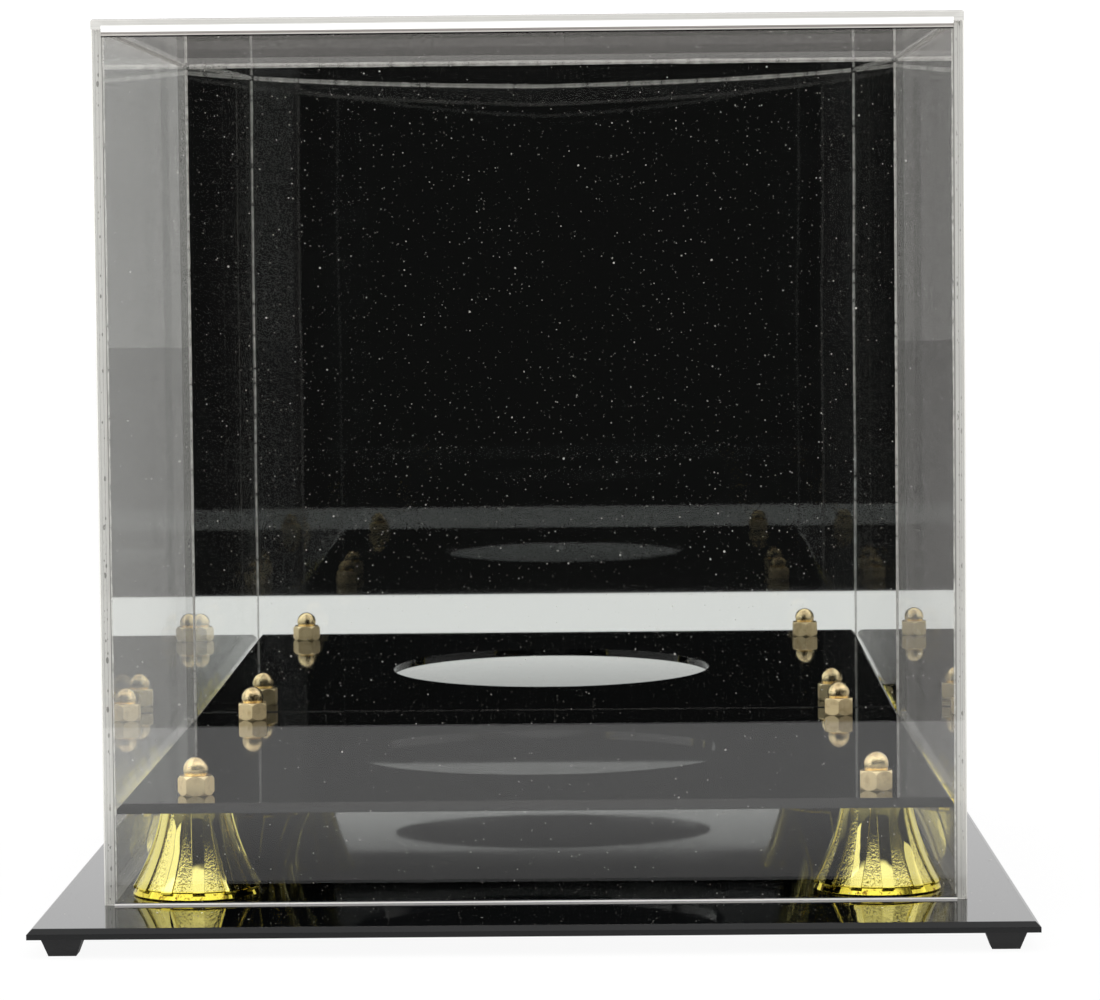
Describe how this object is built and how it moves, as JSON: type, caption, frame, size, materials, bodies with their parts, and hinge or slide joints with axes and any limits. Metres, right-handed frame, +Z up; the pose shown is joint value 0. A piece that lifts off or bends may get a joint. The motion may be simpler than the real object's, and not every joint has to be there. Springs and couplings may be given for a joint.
{
  "type": "ball display case",
  "caption": "Tabletop ball display case: black platform with a round seat on gold risers over a bevelled base, under a clear lift-off cover with a mirror back.",
  "frame": {"origin": "centre of the base plate's outline, level with the soles of the feet", "axes": "+X to the viewer's right, +Y from the front ledge towards the mirror, +Z up"},
  "size_m": [0.303, 0.33, 0.282],
  "materials": {
    "black_acrylic": "polished cast acrylic",
    "clear_acrylic": "polished clear acrylic",
    "mirror_acrylic": "second-surface mirror acrylic",
    "gold_plating": "bright lemon-gold plated moulding",
    "pale_brass": "polished pale brass",
    "black_rubber": "matt moulded rubber"
  },
  "bodies": {
    "stand": {"base_plate": "black_acrylic", "platform": "black_acrylic", "foot_front_left": "black_rubber", "foot_front_right": "black_rubber", "foot_rear_left": "black_rubber", "foot_rear_right": "black_rubber", "riser_front_left": "gold_plating", "riser_front_right": "gold_plating", "riser_rear_left": "gold_plating", "riser_rear_right": "gold_plating", "screw_front_left": "pale_brass", "screw_front_right": "pale_brass", "screw_rear_left": "pale_brass", "screw_rear_right": "pale_brass", "acorn_nut_front_left": "pale_brass", "acorn_nut_front_right": "pale_brass", "acorn_nut_rear_left": "pale_brass", "acorn_nut_rear_right": "pale_brass"},
    "cover": {"front_panel": "clear_acrylic", "left_panel": "clear_acrylic", "right_panel": "clear_acrylic", "top_panel": "clear_acrylic", "mirror_panel": "mirror_acrylic"}
  },
  "joints": [
    {"name": "cover_lift", "type": "slide", "parent": "stand", "child": "cover", "axis": [0, 0, 1], "range_m": [0, 0.28]}
  ]
}
